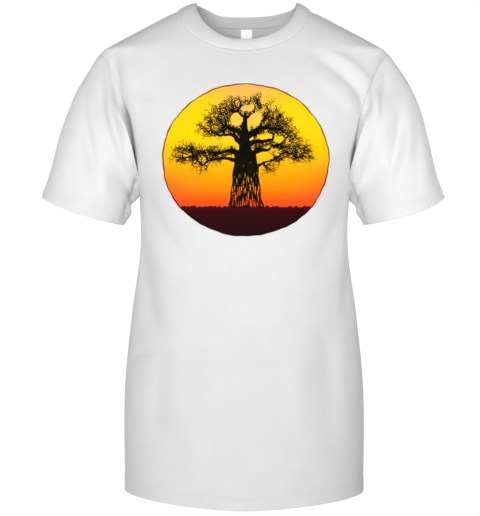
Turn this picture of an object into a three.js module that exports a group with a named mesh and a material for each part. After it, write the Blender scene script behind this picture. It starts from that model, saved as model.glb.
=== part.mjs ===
// A men's crew-neck T-shirt in its worn shape, with a round printed picture of a baobab at sunset on the chest.
// Millimetres, +Z up. The shirt faces -Y and its wearer's left arm is at +X.
// The origin is midway between the two points where the shoulder seams meet the neck seam.
import * as THREE from "three";

// Cloth
const JERSEY = 1.5; // one layer of jersey, with its loft
const DOUBLE = 2.4; // neck rib and turned-up hems, two layers
const SEAM_GAP = 0.4; // left between two pieces at a seam
const HEM_DEPTH = 20;

// Body, hem to shoulder
const HEM_Z = -709;
const ARMPIT_Z = -258;
const SHOULDER_Z = -60;
const SHOULDER_HALF = 212;
const ROUNDNESS = 2.25; // exponent of each level section: 2 is an ellipse, more is boxier
const SECTIONS = [
  { z: HEM_Z, half: 175, front: 138, back: 130 },
  { z: -560, half: 175, front: 133, back: 122 },
  { z: -450, half: 165, front: 127, back: 113 },
  { z: -345, half: 152, front: 126, back: 112 },
  { z: ARMPIT_Z, half: 158, front: 130, back: 122 },
  { z: -180, half: 179, front: 123, back: 123 },
  { z: -120, half: 197, front: 106, back: 112 },
  { z: SHOULDER_Z, half: SHOULDER_HALF, front: 80, back: 88 },
  { z: 0, half: 96, front: 52, back: 60 },
];

// Neck
const NECK_HALF = 96;
const NECK_DROP = { front: 73, back: 16 };
const RIB_SHRINK = { across: 0.8, deep: 0.92 }; // the rib's free edge against its seam
const RIB_LIFT = { side: 11, middle: 20 }; // how far the free edge rises above the seam

// Sleeves, at +X
const ARMHOLE_SWEEP = 2.3; // how late the armhole swings out to the shoulder point
const CUFF = { inner: [178, -315], outer: [295, -273], depth: 68, back: 4 }; // x, z of the cuff's two corners
const ARM = new THREE.Vector3(0.36, 0, -0.933); // the way the sleeve hangs

// Printed picture
const PRINT = { z: -228, half: 115, rise: 106, horizon: -67, layer: 0.4, lift: 1.4 };
const TREE = { trunkFoot: 26, trunkTop: 15, crownHalf: 101, crownRise: 91, crownSpread: [-0.08, 0.47] };

// Label and tape inside the back of the neck
const LABEL = { width: 18, drop: 32, thick: 0.8, inset: 5 };
const TAPE = { width: 9, thick: 0.8, inset: 3.6, below: 2, reach: 0.6 }; // reach is its share of the way round

const WHITE = material(0xe8e8e8, 0.9);
const RIB_WHITE = material(0xe2e2e2, 0.92);
const LABEL_WHITE = material(0xffffff, 0.45);
const SKY_ORANGE = material(0xffb000, 0.7);
const GROUND_RED = material(0x40091a, 0.7);
const INK_BLACK = material(0x0c0b08, 0.7);

function material(color, roughness) {
  return new THREE.MeshStandardMaterial({ color, roughness, metalness: 0 });
}

const steps = (n) => Array.from({ length: n + 1 }, (_, i) => i / n);
const mix = (a, b, t) => a + (b - a) * t;

// Smooth curve through one column of SECTIONS, with the slope at each station from its neighbours.
function section(key, z) {
  const last = SECTIONS.length - 1;
  let i = 0;
  while (i < last - 1 && z > SECTIONS[i + 1].z) i++;
  const [a, b] = [SECTIONS[i], SECTIONS[i + 1]];
  const t = THREE.MathUtils.clamp((z - a.z) / (b.z - a.z), 0, 1);
  const straight = key === "half" && i === last - 1; // the shoulder line
  if (straight) return mix(a[key], b[key], t);
  const slope = (k) => {
    const low = SECTIONS[Math.max(k - 1, 0)];
    const high = SECTIONS[Math.min(k + 1, key === "half" ? last - 1 : last)];
    return (high[key] - low[key]) / (high.z - low.z);
  };
  const h = b.z - a.z;
  const t2 = t * t;
  const t3 = t2 * t;
  return (
    (2 * t3 - 3 * t2 + 1) * a[key] +
    (t3 - 2 * t2 + t) * h * slope(i) +
    (3 * t2 - 2 * t3) * b[key] +
    (t3 - t2) * h * slope(i + 1)
  );
}

// The shirt's outer surface over the point (x, z) of its front or back view.
function onBody(x, z, side) {
  const reach = Math.abs(x) / section("half", z);
  const bulge = reach > 0.9999 ? 0 : (1 - reach ** ROUNDNESS) ** (1 / ROUNDNESS);
  const depth = section(side, z) * bulge;
  return new THREE.Vector3(x, side === "front" ? -depth : depth, z);
}

// Edge of the body at the armhole: t runs from the armpit to the shoulder point.
function armhole(t, side) {
  const z = mix(ARMPIT_Z, SHOULDER_Z, t);
  const x = mix(section("half", ARMPIT_Z), SHOULDER_HALF, t ** ARMHOLE_SWEEP);
  return onBody(x, z, side);
}

// Neck seam: angle 0 is the middle of that side, and a quarter turn is the shoulder seam.
function neckSeam(angle, side) {
  return onBody(
    NECK_HALF * Math.sin(angle),
    -NECK_DROP[side] * Math.cos(angle),
    side,
  );
}

const NECK_COLUMNS = 12; // columns of a body panel that end at the neck seam
const SHOULDER_COLUMNS = 7; // and at each shoulder seam
const PANEL_COLUMNS = NECK_COLUMNS + 2 * SHOULDER_COLUMNS;
const BODY_ROWS = 11; // rows below the armpit
const YOKE_ROWS = 10; // and above it, closer together towards the shoulder
const PANEL_ROWS = BODY_ROWS + YOKE_ROWS;
const NECK_SHARE = NECK_COLUMNS / PANEL_COLUMNS;
const BODY_SHARE = BODY_ROWS / PANEL_ROWS;

// One point of a body panel: across from -1 to 1, up from 0 at the hem fold to 1 at the neck and shoulder seams.
function panelPoint(across, up, side) {
  const sign = Math.sign(across) || 1;
  const s = Math.abs(across);
  const wide = Math.sin((s * Math.PI) / 2);
  if (up <= BODY_SHARE) {
    const z = mix(HEM_Z + HEM_DEPTH, ARMPIT_Z, up / BODY_SHARE);
    return onBody(sign * wide * section("half", z), z, side);
  }
  const t = 1 - ((1 - up) / (1 - BODY_SHARE)) ** 1.7;
  const low = new THREE.Vector2(wide * section("half", ARMPIT_Z), ARMPIT_Z);
  const high = new THREE.Vector2();
  if (s < NECK_SHARE) {
    const seam = neckSeam(((s / NECK_SHARE) * Math.PI) / 2, side);
    high.set(seam.x, seam.z);
  } else {
    const t = (s - NECK_SHARE) / (1 - NECK_SHARE);
    high.set(mix(NECK_HALF, SHOULDER_HALF, t), mix(0, SHOULDER_Z, t));
  }
  const edge = armhole(t, side);
  const straightEdge = mix(section("half", ARMPIT_Z), SHOULDER_HALF, t);
  const pull = s * s * s * (edge.x - straightEdge);
  return onBody(
    sign * (mix(low.x, high.x, t) + pull),
    mix(low.y, high.y, t),
    side,
  );
}

// Point of the right-hand sleeve: round from 0 at the armpit over the front, the top and the back to 1,
// along from 0 at the armhole to 1 at the cuff.
function sleevePoint(round, along) {
  const side = round < 0.5 ? "front" : "back";
  const half = side === "front" ? round * 2 : 2 - round * 2; // armpit to shoulder point, on either side
  const turn = half * Math.PI;
  const outward = (1 - Math.cos(turn)) / 2;
  const start = armhole(outward, side);
  const [inner, outer] = [CUFF.inner, CUFF.outer];
  const facing = side === "front" ? -1 : 1;
  const end = new THREE.Vector3(
    mix(inner[0], outer[0], outward),
    CUFF.back + facing * CUFF.depth * Math.sin(turn),
    mix(inner[1], outer[1], outward),
  );
  const leave = new THREE.Vector3(
    mix(0.45, 0.66, outward),
    0.25 * facing * Math.sin(turn),
    -0.8,
  ).normalize();
  const length = start.distanceTo(end);
  const curve = new THREE.CubicBezierCurve3(
    start,
    start.clone().addScaledVector(leave, length * mix(0.33, 0.39, outward)),
    end.clone().addScaledVector(ARM, -length / 3),
    end,
  );
  return curve.getPoint(along);
}

// A closed shell from a grid of points on its outer surface. Rows run up and columns run round anticlockwise
// seen from outside, or clockwise with mirrored set. A ring's columns close on themselves.
function shell(name, rows, thickness, paint, { ring = false, mirrored = false } = {}) {
  const height = rows.length;
  const width = rows[0].length;
  const column = (j) => (ring ? (j + width) % width : THREE.MathUtils.clamp(j, 0, width - 1));
  const row = (i) => THREE.MathUtils.clamp(i, 0, height - 1);
  const inward = (i, j) => {
    const across = rows[i][column(j + 1)].clone().sub(rows[i][column(j - 1)]);
    const up = rows[row(i + 1)][j].clone().sub(rows[row(i - 1)][j]);
    const normal = across.cross(up);
    if (Math.abs(rows[i][j].y) < 1e-6) normal.y = 0; // side, shoulder and middle lines stay in their plane
    return normal.setLength(mirrored ? thickness : -thickness);
  };
  const points = [];
  for (const sink of [false, true])
    rows.forEach((line, i) =>
      line.forEach((p, j) => points.push(sink ? p.clone().add(inward(i, j)) : p)),
    );
  const index = [];
  const quad = (a, b, c, d) => index.push(a, b, c, a, c, d);
  const at = (i, j, layer) => layer * height * width + i * width + column(j);
  const last = ring ? width : width - 1;
  for (let j = 0; j < last; j++) {
    for (let i = 0; i < height - 1; i++) {
      quad(at(i, j, 0), at(i, j + 1, 0), at(i + 1, j + 1, 0), at(i + 1, j, 0));
      quad(at(i, j, 1), at(i + 1, j, 1), at(i + 1, j + 1, 1), at(i, j + 1, 1));
    }
    quad(at(0, j, 1), at(0, j + 1, 1), at(0, j + 1, 0), at(0, j, 0));
    const top = height - 1;
    quad(at(top, j, 0), at(top, j + 1, 0), at(top, j + 1, 1), at(top, j, 1));
  }
  if (!ring)
    for (let i = 0; i < height - 1; i++) {
      quad(at(i, 0, 0), at(i + 1, 0, 0), at(i + 1, 0, 1), at(i, 0, 1));
      const end = width - 1;
      quad(at(i, end, 1), at(i + 1, end, 1), at(i + 1, end, 0), at(i, end, 0));
    }
  if (mirrored) index.reverse();
  const geometry = new THREE.BufferGeometry().setFromPoints(points).setIndex(index);
  geometry.computeVertexNormals();
  const mesh = new THREE.Mesh(geometry, paint);
  mesh.name = name;
  return mesh;
}

// Front or back of the body, from the hem fold up to the shoulder, neck and armhole seams.
function bodyPanel(name, side) {
  const turn = side === "front" ? 1 : -1;
  const rows = steps(PANEL_ROWS).map((up) =>
    steps(PANEL_COLUMNS).map((u) => {
      const p = panelPoint(turn * (2 * u - 1), up, side);
      return Math.abs(p.y) < 1e-6 ? p.setY(0) : p;
    }),
  );
  const panel = shell(name, rows, JERSEY, WHITE);
  panel.position.y = (-turn * SEAM_GAP) / 2;
  return panel;
}

// The turned-up double hem, a ring round the foot of both panels.
function bodyHem() {
  const heights = [HEM_Z, HEM_Z + HEM_DEPTH - SEAM_GAP];
  const rows = heights.map((z) => {
    const half = section("half", z);
    const round = ["front", "back"].map((side) =>
      steps(PANEL_COLUMNS)
        .slice(0, -1)
        .map((u) => {
          const across = side === "front" ? 2 * u - 1 : 1 - 2 * u;
          return onBody(half * Math.sin((across * Math.PI) / 2), z, side);
        }),
    );
    return round.flat();
  });
  return shell("body_hem", rows, DOUBLE, WHITE, { ring: true });
}

const SLEEVE_COLUMNS = 20;
const SLEEVE_ROWS = 7;
const CUFF_SHARE = { inner: 0.28, outer: 0.09 }; // share of the sleeve's length that its hem takes, at each corner

// Where the sleeve ends and its turned-up hem begins.
function cuffStart(round) {
  const outward = (1 - Math.cos(round * 2 * Math.PI)) / 2;
  return 1 - mix(CUFF_SHARE.inner, CUFF_SHARE.outer, Math.sqrt(outward));
}

function ringOfSleeve(from, to, rows, mirror) {
  return steps(rows).map((t) =>
    steps(SLEEVE_COLUMNS)
      .slice(0, -1)
      .map((round) => {
        const p = sleevePoint(round, mix(to(round), from(round), t));
        return mirror ? p.setX(-p.x) : p;
      }),
  );
}

function sleeve(name, mirror) {
  const ease = (round) => 2 / armhole(0.5, "front").distanceTo(sleevePoint(round, 1)); // starts 2 mm clear of the body
  const rows = ringOfSleeve(ease, (round) => cuffStart(round) - 0.008, SLEEVE_ROWS, mirror);
  return shell(name, rows, JERSEY, WHITE, { ring: true, mirrored: mirror });
}

function sleeveHem(name, mirror) {
  const rows = ringOfSleeve(cuffStart, () => 1, 1, mirror);
  return shell(name, rows, DOUBLE, WHITE, { ring: true, mirrored: mirror });
}

// Ribbed band round the neck, leaning in from the seam to its free edge.
function neckRib() {
  const edge = (angle, side, rise) => {
    const seam = neckSeam(angle, side);
    const lift = mix(RIB_LIFT.side, RIB_LIFT.middle, Math.abs(Math.cos(angle)) ** 1.2);
    return new THREE.Vector3(
      seam.x * mix(1, RIB_SHRINK.across, rise),
      seam.y * mix(1, RIB_SHRINK.deep, rise),
      seam.z + lift * rise,
    );
  };
  const rows = [0.08, 0.5, 1].map((rise) => {
    const round = ["front", "back"].map((side) =>
      steps(NECK_COLUMNS)
        .slice(0, -1)
        .map((u) => {
          const angle = (side === "front" ? u - 0.5 : 0.5 - u) * Math.PI;
          return edge(angle, side, rise);
        }),
    );
    return round.flat();
  });
  return shell("neck_rib", rows, DOUBLE, RIB_WHITE, { ring: true });
}

// Strip that covers the neck seam inside the back of the neck.
function neckTape() {
  const rows = [TAPE.width, 0].map((below) =>
    steps(16).map((u) => {
      const seam = neckSeam((0.5 - u) * Math.PI * TAPE.reach, "back");
      const p = onBody(seam.x, seam.z - below - TAPE.below, "back");
      return new THREE.Vector3(p.x * 0.96, p.y - TAPE.inset, p.z);
    }),
  );
  return shell("neck_tape", rows, TAPE.thick, RIB_WHITE);
}

// Satin size label, hanging from the tape.
function neckLabel() {
  const seam = neckSeam(0, "back");
  const label = new THREE.Mesh(
    new THREE.BoxGeometry(LABEL.width, LABEL.thick, LABEL.drop),
    LABEL_WHITE,
  );
  label.name = "neck_label";
  label.position.set(0, seam.y - LABEL.inset, seam.z - LABEL.drop / 2);
  return label;
}

// A film of ink over the chest: outline gives the half width at each height, in the picture's own x and z.
function film(name, columns, rows, layer, paint, place) {
  const lift = PRINT.lift + layer * (PRINT.layer + PRINT.lift);
  const grid = steps(rows).map((v) =>
    steps(columns).map((u) => {
      const [x, z] = place(2 * u - 1, v);
      const p = onBody(x, PRINT.z + z, "front");
      return p.setY(p.y - lift - PRINT.layer);
    }),
  );
  return shell(name, grid, PRINT.layer, paint);
}

// Half width of the round picture at a height above its centre.
const discHalf = (z) => PRINT.half * Math.sqrt(Math.max(0, 1 - (z / PRINT.rise) ** 2));

function printFilms() {
  const gap = SEAM_GAP;
  // Heights are spaced by angle, so that the rims stay round; the flat ends are a few millimetres wide.
  const band = (from, to, v) => {
    const [a, b] = [from, to].map((z) => Math.asin(z / PRINT.rise));
    return PRINT.rise * Math.sin(mix(a, b, v));
  };
  const tip = PRINT.rise * 0.998;
  const disc = (from, to) => (u, v) => {
    const z = band(from, to, v);
    return [u * discHalf(z), z];
  };
  const crown = (u, v) => {
    const turn = mix(...TREE.crownSpread, v) * Math.PI;
    return [u * TREE.crownHalf * Math.cos(turn) ** 0.8, TREE.crownRise * Math.sin(turn)];
  };
  const crownBase = crown(0, 0)[1];
  const trunk = (u, v) => {
    const half = mix(TREE.trunkFoot, TREE.trunkTop, Math.sqrt(v));
    return [u * half, mix(PRINT.horizon + gap, crownBase - gap, v)];
  };
  return [
    film("print_sky", 14, 12, 0, SKY_ORANGE, disc(PRINT.horizon + gap, tip)),
    film("print_ground", 12, 5, 0, GROUND_RED, disc(-tip, PRINT.horizon)),
    film("print_trunk", 4, 4, 1, INK_BLACK, trunk),
    film("print_crown", 12, 10, 1, INK_BLACK, crown),
  ];
}

const shirt = new THREE.Group();
shirt.add(
  bodyPanel("front_panel", "front"),
  bodyPanel("back_panel", "back"),
  bodyHem(),
  sleeve("sleeve_left", false),
  sleeve("sleeve_right", true),
  sleeveHem("sleeve_hem_left", false),
  sleeveHem("sleeve_hem_right", true),
  neckRib(),
  neckTape(),
  neckLabel(),
  ...printFilms(),
);

export default shirt;
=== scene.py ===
"""Looks of a white crew-neck T-shirt with a round sunset print, on an unseen wearer.

The cloth is draped from the pattern's worn shape, then given thickness, hems, seams and stitching.
All lengths below are millimetres unless they say otherwise; meshes are made in metres.
"""
import math
import random

import bpy
import numpy as np
from mathutils import Matrix, Vector
from mathutils.bvhtree import BVHTree


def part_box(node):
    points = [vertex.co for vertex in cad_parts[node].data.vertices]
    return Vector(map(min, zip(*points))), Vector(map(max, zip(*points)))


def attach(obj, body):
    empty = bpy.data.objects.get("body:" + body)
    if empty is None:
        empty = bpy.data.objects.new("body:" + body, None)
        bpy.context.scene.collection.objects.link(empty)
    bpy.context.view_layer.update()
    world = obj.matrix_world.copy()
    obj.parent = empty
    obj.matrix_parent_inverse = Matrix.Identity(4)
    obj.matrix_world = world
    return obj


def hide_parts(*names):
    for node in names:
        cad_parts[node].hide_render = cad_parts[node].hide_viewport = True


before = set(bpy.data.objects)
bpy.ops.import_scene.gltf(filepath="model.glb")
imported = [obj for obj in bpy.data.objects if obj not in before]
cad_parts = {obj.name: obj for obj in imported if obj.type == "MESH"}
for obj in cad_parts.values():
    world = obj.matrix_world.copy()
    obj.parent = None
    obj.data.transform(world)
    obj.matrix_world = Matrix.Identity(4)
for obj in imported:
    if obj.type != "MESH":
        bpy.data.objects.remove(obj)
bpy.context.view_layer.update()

MM = 0.001
SCENE = bpy.context.scene


def box_of(*nodes):
    """Lowest and highest corner of some CAD nodes, in millimetres."""
    boxes = [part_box(n) for n in nodes]
    return (np.min([np.array(b[0]) for b in boxes], 0) / MM, np.max([np.array(b[1]) for b in boxes], 0) / MM)


# ---- sizes

HEM_Z = round(box_of("body_hem")[0][2])
PRINT_LOW, PRINT_HIGH = box_of("print_sky", "print_ground")
PRINT_HALF = (PRINT_HIGH[0] - PRINT_LOW[0]) / 2 * 1.022  # the visible picture is a little larger
PRINT_RISE = (PRINT_HIGH[2] - PRINT_LOW[2]) / 2 * 1.012
PRINT_MIDDLE = (PRINT_HIGH[2] + PRINT_LOW[2]) / 2
HORIZON = box_of("print_sky")[0][2] - PRINT_MIDDLE
PRINT_X, PRINT_Z = 2.0, PRINT_MIDDLE + 1.0
LABEL_LOW, LABEL_HIGH = box_of("neck_label")

ARMPIT_Z, SHOULDER_Z, SHOULDER_HALF = -258, -60, 212
ROUNDNESS = 2.25  # of the level sections: 2 is an ellipse
SECTIONS = [  # height, half width, depth of the front and of the back
    (HEM_Z, 175, 138, 130),
    (-560, 175, 133, 122),
    (-450, 165, 127, 113),
    (-345, 152, 126, 112),
    (ARMPIT_Z, 158, 130, 122),
    (-180, 179, 123, 123),
    (-120, 197, 106, 112),
    (SHOULDER_Z, SHOULDER_HALF, 80, 88),
    (0, 96, 52, 60),
]
COLUMN = {"half": 1, "front": 2, "back": 3}
NECK_HALF = 96
NECK_DROP = {"front": 69, "back": 16}
RIB_SHRINK = (0.8, 0.92)  # the rib's free edge against its seam, across and deep
RIB_LIFT = (11, 16)  # how far the free edge rises above the seam, at the sides and in the middle
ARMHOLE_SWEEP = 2.3
CUFF_INNER, CUFF_OUTER, CUFF_DEPTH, CUFF_BACK = (178, -315), (295, -273), 68, 4
ARM = np.array([0.36, 0, -0.933])  # the way the upper arm hangs
HEM_DEPTH = 20
HEM_STITCHES, NECK_STITCH = (19.0, 15.0), 7.0  # distances from the fold, and from the neck seam
CLOTH = 1.0  # thickness of one layer


def mix(a, b, t):
    return a + (b - a) * t


def smooth(lo, hi, x):
    t = np.clip((np.asarray(x, float) - lo) / (hi - lo), 0, 1)
    return t * t * (3 - 2 * t)


def section(key, z):
    """Half width or depth of the shirt at a height, on a smooth curve through SECTIONS."""
    z = np.asarray(z, float)
    zs = np.array([s[0] for s in SECTIONS], float)
    v = np.array([s[COLUMN[key]] for s in SECTIONS], float)
    last = len(SECTIONS) - 1
    top = last - 1 if key == "half" else last
    low = np.maximum(np.arange(last + 1) - 1, 0)
    high = np.maximum(np.minimum(np.arange(last + 1) + 1, top), low + 1)
    slope = (v[high] - v[low]) / (zs[high] - zs[low])
    i = np.clip(np.searchsorted(zs, z, side="right") - 1, 0, last - 1)
    h = zs[i + 1] - zs[i]
    t = np.clip((z - zs[i]) / h, 0, 1)
    curve = (
        (2 * t**3 - 3 * t**2 + 1) * v[i]
        + (t**3 - 2 * t**2 + t) * h * slope[i]
        + (3 * t**2 - 2 * t**3) * v[i + 1]
        + (t**3 - t**2) * h * slope[i + 1]
    )
    return np.where(i == last - 1, mix(v[last - 1], v[last], t), curve) if key == "half" else curve


def depth(x, z, side):
    """y of the shirt's outer surface over a point of its front or back view."""
    reach = np.minimum(1, np.abs(x) / section("half", z))
    bulge = np.maximum(0, 1 - reach**ROUNDNESS) ** (1 / ROUNDNESS)
    return section(side, z) * bulge * (-1 if side == "front" else 1)


# ---- the worn shape, as grids

NECK_COLS, SHOULDER_COLS = 16, 13
HALF_COLS = NECK_COLS + SHOULDER_COLS
COLS = 2 * HALF_COLS
BODY_ROWS, YOKE_ROWS, SLEEVE_ROWS = 50, 28, 24
# Columns of a sleeve run round from the armpit over the front, the top and the back.
ROUND = np.arange(2 * YOKE_ROWS)
IN_FRONT = ROUND <= YOKE_ROWS
UP_SLEEVE = np.where(IN_FRONT, ROUND / YOKE_ROWS, 2 - ROUND / YOKE_ROWS)  # 0 at the armpit, 1 on top
DOWN_SLEEVE = np.linspace(0, 1, SLEEVE_ROWS + 1)[:, None]  # 0 at the armhole, 1 at the cuff


def panel_grid(side):
    """Rows up from the hem, columns from -x to +x."""
    s = np.linspace(-1, 1, COLS + 1)
    sign, s = np.sign(s), np.abs(s)
    wide = np.sin(s * np.pi / 2)
    rows = []
    for z in np.linspace(HEM_Z, ARMPIT_Z, BODY_ROWS + 1):
        x = wide * section("half", z)
        rows.append(np.stack([sign * x, depth(x, z, side), np.full_like(x, z)], 1))
    share = NECK_COLS / HALF_COLS
    angle = np.minimum(1, s / share) * np.pi / 2
    past = np.clip((s - share) / (1 - share), 0, 1)
    high_x = np.where(s < share, NECK_HALF * np.sin(angle), mix(NECK_HALF, SHOULDER_HALF, past))
    high_z = np.where(s < share, -NECK_DROP[side] * np.cos(angle), mix(0, SHOULDER_Z, past))
    low_half = section("half", ARMPIT_Z)
    for u in np.linspace(0, 1, YOKE_ROWS + 1)[1:]:
        t = 1 - (1 - u) ** (1 + 0.7 * smooth(0, 1, s))
        edge = 1 - (1 - u) ** 1.7
        pull = s**3 * (edge**ARMHOLE_SWEEP - edge) * (SHOULDER_HALF - low_half)
        z = mix(ARMPIT_Z, high_z, t)
        x = np.minimum(mix(wide * low_half, high_x, t) + pull, section("half", z))
        rows.append(np.stack([sign * x, depth(x, z, side), z], 1))
    return np.array(rows)


def about_shoulder(points, angle):
    """Turns points outwards round the shoulder point, in the front view."""
    joint = np.array([SHOULDER_HALF, 0, SHOULDER_Z])
    d = points - joint
    c, s = math.cos(angle), math.sin(angle)
    return np.stack([d[..., 0] * c - d[..., 2] * s, d[..., 1], d[..., 0] * s + d[..., 2] * c], -1) + joint


def sleeve_grid(front, back, swing=0.0):
    """Rows from the armhole to the cuff, columns as in ROUND; swing raises the sleeve."""
    start = np.concatenate([front[BODY_ROWS:, -1], back[BODY_ROWS:, -1][-2:0:-1]])
    turn = UP_SLEEVE * np.pi
    out = (1 - np.cos(turn)) / 2
    facing = np.where(IN_FRONT, -1, 1)
    joint = np.array([SHOULDER_HALF, 0, SHOULDER_Z])
    end = np.stack([mix(CUFF_INNER[0], CUFF_OUTER[0], out), CUFF_BACK + facing * CUFF_DEPTH * np.sin(turn),
                    mix(CUFF_INNER[1], CUFF_OUTER[1], out)], 1)
    leave = np.stack([mix(0.45, 0.66, out), 0.25 * facing * np.sin(turn), np.full(len(ROUND), -0.8)], 1)
    leave /= np.linalg.norm(leave, axis=1, keepdims=True)
    end, leave = about_shoulder(end, swing), about_shoulder(leave + joint, swing) - joint
    arm = about_shoulder(ARM + joint, swing) - joint
    length = np.linalg.norm(end - start, axis=1, keepdims=True)
    p1 = start + leave * length * mix(0.33, 0.39, out)[:, None]
    p2 = end - arm * length / 3
    return np.array([(1 - t) ** 3 * start + 3 * (1 - t) ** 2 * t * p1 + 3 * (1 - t) * t * t * p2 + t**3 * end
                     for t in DOWN_SLEEVE[:, 0]])


def garment(swing=0.0, ease=None, sleeve_ease=1.0):
    """Front, back and both sleeves. ease widens the cut against the worn shape, by height."""
    front, back = panel_grid("front"), panel_grid("back")
    sleeve = sleeve_grid(front, back, swing)
    if ease:
        for grid in (front, back):
            grid[..., :2] *= ease(grid[..., 2])[..., None]
        along = DOWN_SLEEVE[..., None]
        sleeve[..., :2] *= mix(ease(sleeve[..., 2])[..., None], 1, np.minimum(1, along * 2))
        middle = sleeve.mean(1, keepdims=True)
        sleeve = middle + (sleeve - middle) * (1 + (sleeve_ease - 1) * np.minimum(1, along * 3))
    return front, back, sleeve, sleeve * [-1, 1, 1]


def weld():
    """Vertex numbers of the four grids, sewn together at the side, shoulder and armhole seams."""
    rows, cols = BODY_ROWS + YOKE_ROWS + 1, COLS + 1
    front = np.arange(rows * cols).reshape(rows, cols)
    shared = np.zeros((rows, cols), bool)
    shared[: BODY_ROWS + 1, [0, -1]] = True
    shared[-1, : SHOULDER_COLS + 1] = shared[-1, -SHOULDER_COLS - 1 :] = True
    back = np.where(shared, front, 0)
    back[~shared] = front.size + np.arange((~shared).sum())
    count = back.max() + 1
    sleeves = []
    for col in (-1, 0):
        ring = np.concatenate([front[BODY_ROWS:, col], back[BODY_ROWS:, col][-2:0:-1]])
        rest = count + np.arange(SLEEVE_ROWS * len(ring)).reshape(SLEEVE_ROWS, -1)
        sleeves.append(np.vstack([ring, rest]))
        count = rest.max() + 1
    return front, back, sleeves[0], sleeves[1], count


I_FRONT, I_BACK, I_LEFT, I_RIGHT, VERTICES = weld()


def gathered(grids):
    """One list of points from the four grids."""
    points = np.zeros((VERTICES, 3))
    for index, grid in zip((I_RIGHT, I_LEFT, I_BACK, I_FRONT), grids[::-1]):
        points[index] = grid
    return points


def quads_of(index, ring=False, flip=False):
    """Faces between the rows and columns of a grid of vertex numbers."""
    nxt = np.roll(index, -1, axis=1) if ring else index[:, 1:]
    here = index if ring else index[:, :-1]
    quads = np.stack([here[:-1], nxt[:-1], nxt[1:], here[1:]], -1).reshape(-1, 4)
    return quads[:, ::-1] if flip else quads


def new_mesh(name, points, faces):
    """A smooth-shaded mesh object from points in millimetres and faces with equally many corners."""
    points, faces = np.asarray(points, float) * MM, np.asarray(faces)
    mesh = bpy.data.meshes.new(name)
    mesh.vertices.add(len(points))
    mesh.vertices.foreach_set("co", points.astype(np.float32).ravel())
    mesh.loops.add(faces.size)
    mesh.loops.foreach_set("vertex_index", faces.astype(np.int32).ravel())
    mesh.polygons.add(len(faces))
    mesh.polygons.foreach_set("loop_start", np.arange(0, faces.size, faces.shape[1], dtype=np.int32))
    mesh.polygons.foreach_set("loop_total", np.full(len(faces), faces.shape[1], np.int32))
    mesh.update(calc_edges=True)
    mesh.polygons.foreach_set("use_smooth", np.full(len(faces), True))
    piece = bpy.data.objects.new(name, mesh)
    SCENE.collection.objects.link(piece)
    return piece


# ---- the drape

SWING = math.radians(20)  # the arms come down by this much while the cloth settles
LOWERED, SETTLED = 22, 45  # frames


def cut_ease(z):
    """How much wider the cloth is cut than it is worn."""
    heights = [HEM_Z, -500, -345, ARMPIT_Z, ARMPIT_Z + 90, 0]
    return np.interp(z, heights, [1.01, 1.03, 1.035, 1.012, 1.01, 1.0])


def torso():
    """The unseen wearer, from above the shoulders to below the hem: the worn shape drawn in."""
    lower = [(-709, 166, 112, 118), (-620, 165, 108, 115), (-520, 152, 104, 104), (-430, 138, 104, 96),
             (-345, 134, 112, 98), (ARMPIT_Z, 144, 120, 111), (-180, 164, 113, 112)]
    zs, half, front, back = np.array(lower, float).T
    lower_top = lower[-1][0]
    grids = []
    for side, reach, inset in (("front", front, 10), ("back", back, 11)):
        grid = panel_grid(side)
        z = grid[..., 2].copy()
        wide, deep = section("half", z), section(side, z)
        low = z <= lower_top
        grid[..., 0] *= np.where(low, np.interp(z, zs, half) / wide, (wide - 15) / wide)
        grid[..., 1] *= np.where(low, np.interp(z, zs, reach) / deep, (deep - inset) / deep)
        grid[..., 2] -= 10 * np.clip((z - lower_top) / -lower_top, 0, 1)
        grids.append(grid)
    front, back = grids
    points = np.zeros((max(I_FRONT.max(), I_BACK.max()) + 1, 3))
    points[I_BACK], points[I_FRONT] = back, front
    return new_mesh("torso", points, np.vstack([quads_of(I_FRONT), quads_of(I_BACK, flip=True)]))


def upper_arm(mirror):
    """A tapering arm inside the worn sleeve, hung from the shoulder point."""
    sleeve = sleeve_grid(panel_grid("front"), panel_grid("back"))
    turn = np.linspace(0, 2 * np.pi, 25)[:-1, None]
    rings = []
    for t in np.linspace(0.12, 1, 14):
        ring = sleeve[round(t * SLEEVE_ROWS)]
        outward = ring[YOKE_ROWS] - ring.mean(0)
        outward /= np.linalg.norm(outward)
        radius = mix(42, 40, t)
        middle = ring[YOKE_ROWS] - outward * (radius + 11)
        rings.append(middle + radius * (np.cos(turn) * outward + np.sin(turn) * [0, 1, 0]))
    for ring, size in zip(rings, (0.6, 0.85)):
        ring[:] = ring.mean(0) + (ring - ring.mean(0)) * size
    run = rings[-1] - rings[-3]
    rings = np.array(rings + [rings[-1] + run * k for k in (1, 2, 3, 4)])
    if mirror:
        rings[..., 0] *= -1
    index = np.arange(rings.shape[0] * rings.shape[1]).reshape(rings.shape[:2])
    arm = new_mesh("arm", rings.reshape(-1, 3), quads_of(index, ring=True, flip=mirror))
    face = arm.data.polygons[7 * rings.shape[1]]
    if (face.center - Vector(rings[7].mean(0) * MM)).dot(face.normal) < 0:
        arm.data.flip_normals()
    sign = -1 if mirror else 1
    joint = Vector((sign * SHOULDER_HALF * MM, 0, SHOULDER_Z * MM))
    for when, angle in ((1, SWING), (2, SWING), (LOWERED, 0), (SETTLED, 0)):
        turn_in = Matrix.Rotation(-angle * sign, 4, "Y")
        arm.matrix_world = Matrix.Translation(joint) @ turn_in @ Matrix.Translation(-joint)
        arm.keyframe_insert("location", frame=when)
        arm.keyframe_insert("rotation_euler", frame=when)
    return arm


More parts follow.
